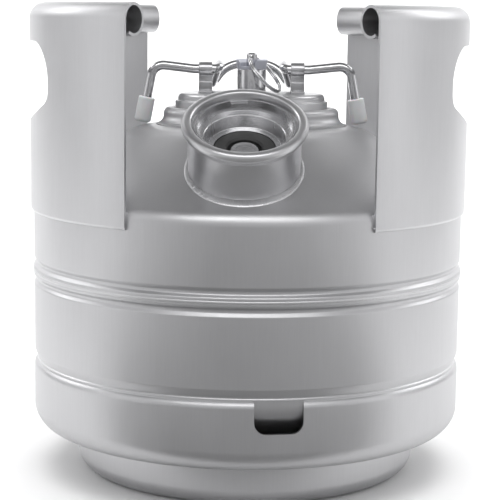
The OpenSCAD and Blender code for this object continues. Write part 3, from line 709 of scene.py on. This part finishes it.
def make_bracket(side):
    word = "right" if side > 0 else "left"
    strap, eye = 1.2, WIRE_R + 0.1
    # the strap's middle line: foot, neck, loop over the wire, neck, foot
    half = [(9.0, LID_TOP_Z + strap / 2), (6.6, LID_TOP_Z + strap / 2), (4.6, LID_TOP_Z + 1.7),
            (0.95, LID_TOP_Z + 5.6), (0.95, BAIL_Z - eye - 1.2)]
    loop_r = eye + strap / 2
    loop = arc((0, BAIL_Z), loop_r, -68, 248, 30)
    middle = [Vector((0, y, z)) for y, z in
              filleted(half, 1.4, closed=False, n=6) + loop
              + [(-y, z) for y, z in reversed(filleted(half, 1.4, closed=False, n=6))]]
    outer, inner = [], []
    for i, p in enumerate(middle):
        along = (middle[min(i + 1, len(middle) - 1)] - middle[max(i - 1, 0)]).normalized()
        across = Vector((0, -along.z, along.y))
        outer.append(p + across * strap / 2)
        inner.append(p - across * strap / 2)
    outline = [(q.y, q.z) for q in outer + inner[::-1]]
    bm = bmesh.new()
    width = 7.4
    n = len(middle)
    rows = []
    for x in (-width / 2, width / 2):
        rows.append([bm.verts.new((x, y, z)) for y, z in outline])
    for i in range(2 * n):
        k = (i + 1) % (2 * n)
        bm.faces.new((rows[0][i], rows[0][k], rows[1][k], rows[1][i]))
    for row in rows:
        for i in range(n - 1):
            bm.faces.new((row[i], row[i + 1], row[2 * n - 2 - i], row[2 * n - 1 - i]))
    bmesh.ops.recalc_face_normals(bm, faces=bm.faces)
    sharp = [e for e in bm.edges if e.calc_face_angle(0) > math.radians(60)]
    bmesh.ops.bevel(bm, geom=sharp, offset=0.22, segments=2, affect="EDGES", profile=0.5)
    piece(word + "_strap", bm, "lid", "lid_steel", [word + "_bracket"],
          AT_HATCH @ Matrix.Translation((side * BRACKET_X, 0, 0)))


BAIL_FOOT = Vector((60.6, 0, 189.2))
BAIL_CORNER = Vector((54.4, 0, 221.2))
ARM_X = 18
RING_TURN = -20           # degrees that the pull ring leans towards the front


def make_bail():
    half = [BAIL_FOOT.lerp(BAIL_CORNER, 0.15), BAIL_CORNER, Vector((32, 0, BAIL_Z)),
            Vector((ARM_X, 0, BAIL_Z)), Vector((ARM_X, 9, BAIL_Z + 3)),
            Vector((ARM_X + 5, 27, BAIL_Z - 11)), Vector((14, 33, BAIL_Z + 2))]
    bends = [0, 7, 12, 4, 6, 4, 16]
    mirrored = [Vector((-p.x, p.y, p.z)) for p in reversed(half)]
    line = filled_in(rounded_line(half + mirrored, bends + bends[::-1]), 2.0)
    piece("bail_wire", bar(line, WIRE_R), "bail", "polished_wire", ["bail"], AT_HATCH)
    cap_r, cap_h = 4.6, 14
    for side, word in ((1, "right"), (-1, "left")):
        foot = Vector((side * BAIL_FOOT.x, 0, BAIL_FOOT.z))
        leg = Vector((side * BAIL_CORNER.x, 0, BAIL_CORNER.z)) - foot
        place = AT_HATCH @ Matrix.Translation(foot)
        place = place @ leg.to_track_quat("Z", "Y").to_matrix().to_4x4()
        profile = ([(0, 0.02)] + arc((cap_r - 1.8, 1.8), 1.8, -90, 0, 8) + [(cap_r, 8)]
                   + arc((cap_r - 0.9, cap_h - 0.9), 0.9, 0, 90, 6)
                   + [(WIRE_R + 0.15, cap_h), (WIRE_R, cap_h - 0.3), (WIRE_R, 2), (0, 2)])
        piece(word + "_cap", lathe(profile, 72), "bail", "white_cap", [word + "_foot_cap"], place)


# ------------------------------------------------------------------ relief valve


def make_relief_valve():
    top_z, cap_z, stem_r, hole_z, stem_z = 218.7, 224.4, 2.95, 225.4, 227.8
    turned = AT_HATCH @ Matrix.Rotation(math.radians(RING_TURN), 4, "Z")
    body = filleted([(2, 194), (5.5, 194), (5.5, LID_TOP_Z), (8, LID_TOP_Z), (8, top_z),
                     (4.8, top_z), (4.8, 199), (2, 199)], 0.3)
    piece("relief_barrel", lathe(body, 120), "lid", "relief_steel", ["relief_body"], AT_HATCH)
    shell = filleted([(stem_r + 0.1, top_z), (7.9, top_z), (8.9, cap_z - 0.6), (8.4, cap_z),
                      (stem_r + 0.1, cap_z)], 0.35)
    cap = piece("relief_top", lathe(shell, 96), "lid", "relief_cap", ["relief_cap"], AT_HATCH)
    slot = [(-4.2, 220.4), (4.2, 220.4), (4.2, 222.4), (5.8, cap_z + 0.1), (5.8, 230),
            (-5.8, 230), (-5.8, cap_z + 0.1), (-4.2, 222.4)]
    place = turned @ Matrix.Rotation(math.radians(90), 4, "X")
    cut_by(cap, prism(slot, 20, place), "ring slot")
    stem = filleted([(0, 202.4), (stem_r, 202.4), (stem_r, stem_z - 0.8), (stem_r - 0.8, stem_z),
                     (0, stem_z)], 0.3)
    rod = piece("relief_rod", lathe(stem, 64), "relief_stem", "relief_steel",
                ["relief_stem"], AT_HATCH)
    eye = arc((0, hole_z), 1.55, 0, 337.5, 15)
    cut_by(rod, prism(eye, 10, place), "ring hole")
    make_pull_ring(hole_z, turned)


def make_pull_ring(hole_z, turned):
    """A flat split ring: nearly two turns of wire that step over each other once."""
    ring_r, wire, thick = 12.1, 0.62, 1.1
    wire_turns, start, lift, step_half = 1.94, 200, 0.48, 0.03
    slope = math.asin((hole_z - LID_TOP_Z - thick - 0.15) / (2 * ring_r))
    line = []
    steps = 300
    for i in range(steps + 1):
        t = i / steps
        turn = 2 * math.pi * wire_turns * t + math.radians(start)
        side = max(-1, min(1, (t - 0.5) / step_half))
        line.append(Vector((ring_r * math.cos(turn), ring_r * math.sin(turn), side * lift)))
    place = (turned @ Matrix.Translation((0, 0, hole_z)) @ Matrix.Rotation(slope, 4, "Y")
             @ Matrix.Translation((ring_r, 0, 0)))
    piece("split_ring", bar(line, wire, 16), "pull_ring", "polished_wire", ["pull_ring"], place)


make_vessel()
make_skirt()
for handle_side in (1, -1):
    make_handle(handle_side)
    make_bracket(handle_side)
make_neck()
make_spear()
make_hatch()
make_bail()
make_relief_valve()

# ------------------------------------------------------------------ stage and light


def plain(name, colour, rough):
    """Painted studio surface with a barely visible mottle."""
    material, tree, shader = node_tree(name)
    mottle = noise(tree, 3, (1, 1, 1), 3)
    light = [min(1, c * 1.01) for c in colour]
    tree.links.new(tinted(tree, mottle, colour, light), shader.inputs["Base Color"])
    shader.inputs["Roughness"].default_value = rough
    shader.inputs["Specular IOR Level"].default_value = 0.1
    return material


def make_floor():
    """Floor that curves up into a backdrop."""
    outline = [(-3.0, 0.0), (1.4, 0.0)] + arc((1.4, 0.9), 0.9, -90, 0, 20)[1:] + [(2.3, 4.0)]
    bm = bmesh.new()
    rows = [[bm.verts.new((x, y, z)) for y, z in outline] for x in (-4, 4)]
    for i in range(len(outline) - 1):
        bm.faces.new((rows[0][i], rows[1][i], rows[1][i + 1], rows[0][i + 1]))
    mesh = bpy.data.meshes.new("studio_floor")
    bm.to_mesh(mesh)
    bm.free()
    mesh.shade_smooth()
    mesh.materials.append(plain("studio paint", (0.80, 0.80, 0.80), 0.9))
    floor = bpy.data.objects.new("studio_floor", mesh)
    bpy.context.scene.collection.objects.link(floor)


def area_light(name, place, target, size, power):
    data = bpy.data.lights.new(name, "AREA")
    data.shape = "RECTANGLE"
    data.size, data.size_y = size
    data.energy = power
    lamp = bpy.data.objects.new(name, data)
    lamp.location = place
    lamp.rotation_euler = (Vector(target) - Vector(place)).to_track_quat("-Z", "Y").to_euler()
    bpy.context.scene.collection.objects.link(lamp)
    return lamp


def floor_card(name, place, size):
    """A grey card on the floor that only the steel's reflections see."""
    bm = bmesh.new()
    w, h = size[0] / 2, size[1] / 2
    corner = 0.25
    corners = filleted([(-w, -h), (w, -h), (w, h), (-w, h)], corner)
    bm.faces.new([bm.verts.new((x, y, 0)) for x, y in corners])
    mesh = bpy.data.meshes.new(name)
    bm.to_mesh(mesh)
    bm.free()
    mesh.materials.append(plain(name, (0.22, 0.22, 0.22), 0.9))
    card = bpy.data.objects.new(name, mesh)
    card.location = place
    card.visible_camera = False
    card.visible_diffuse = False
    card.visible_shadow = False
    bpy.context.scene.collection.objects.link(card)


def make_light():
    """Even pale room, dimmer overhead, with three soft boxes and lamps on floor and backdrop."""
    world = bpy.data.worlds.new("soft studio")
    world.use_nodes = True
    tree = world.node_tree
    background = tree.nodes["Background"]
    direction = tree.nodes.new("ShaderNodeTexCoord")
    parts = tree.nodes.new("ShaderNodeSeparateXYZ")
    tree.links.new(direction.outputs["Generated"], parts.inputs["Vector"])

    def share(axis, start, end, amount):
        ramp = tree.nodes.new("ShaderNodeMapRange")
        ramp.interpolation_type = "SMOOTHSTEP"
        ramp.inputs["From Min"].default_value = start
        ramp.inputs["From Max"].default_value = end
        ramp.inputs["To Min"].default_value = 1
        ramp.inputs["To Max"].default_value = amount
        tree.links.new(parts.outputs[axis], ramp.inputs["Value"])
        return ramp.outputs["Result"]

    both = blended(tree, share("Y", -0.35, -0.92, 0.85), share("Z", 0.45, 0.9, 0.35))
    tree.links.new(both, background.inputs["Strength"])
    background.inputs["Color"].default_value = (0.70, 0.70, 0.71, 1)
    bpy.context.scene.world = world
    bpy.context.scene.view_settings.view_transform = "Standard"
    middle = (0, 0, 0.15)
    area_light("left box", (-1.25, -0.35, 0.55), middle, (0.4, 1.2), 1.0)
    area_light("right box", (1.25, -0.35, 0.55), middle, (0.4, 1.2), 1.2)
    area_light("front top box", (0, -0.95, 1.25), middle, (1.6, 0.45), 8)
    overhead = area_light("floor fill", (0, 0.4, 2.4), (0, 0.4, 0), (2.4, 2.4), 60)
    overhead.visible_glossy = False
    area_light("backdrop left", (-1.5, 0.9, 1.3), (0, 2.1, 0.6), (1.2, 1.2), 19)
    area_light("backdrop right", (1.5, 0.9, 1.3), (0, 2.1, 0.6), (1.2, 1.2), 19)
    floor_card("floor card", (0, -0.80, 0.001), (0.9, 1.35))


def make_camera():
    """Camera in front, a little above the rim and looking down at the body."""
    data = bpy.data.cameras.new("camera")
    data.sensor_width = 36
    data.lens = 113.3
    data.clip_end = 20
    camera = bpy.data.objects.new("camera", data)
    orbit = Matrix.Rotation(math.radians(-0.72), 4, "Z")
    aim = (Matrix.Rotation(math.radians(-0.10), 4, "Z")
           @ Matrix.Rotation(math.radians(90 - 8.43), 4, "X")
           @ Matrix.Rotation(math.radians(0.69), 4, "Z"))
    camera.matrix_world = orbit @ Matrix.Translation((0, -0.867, 0.2475)) @ aim
    bpy.context.scene.collection.objects.link(camera)
    bpy.context.scene.camera = camera


make_floor()
make_light()
make_camera()
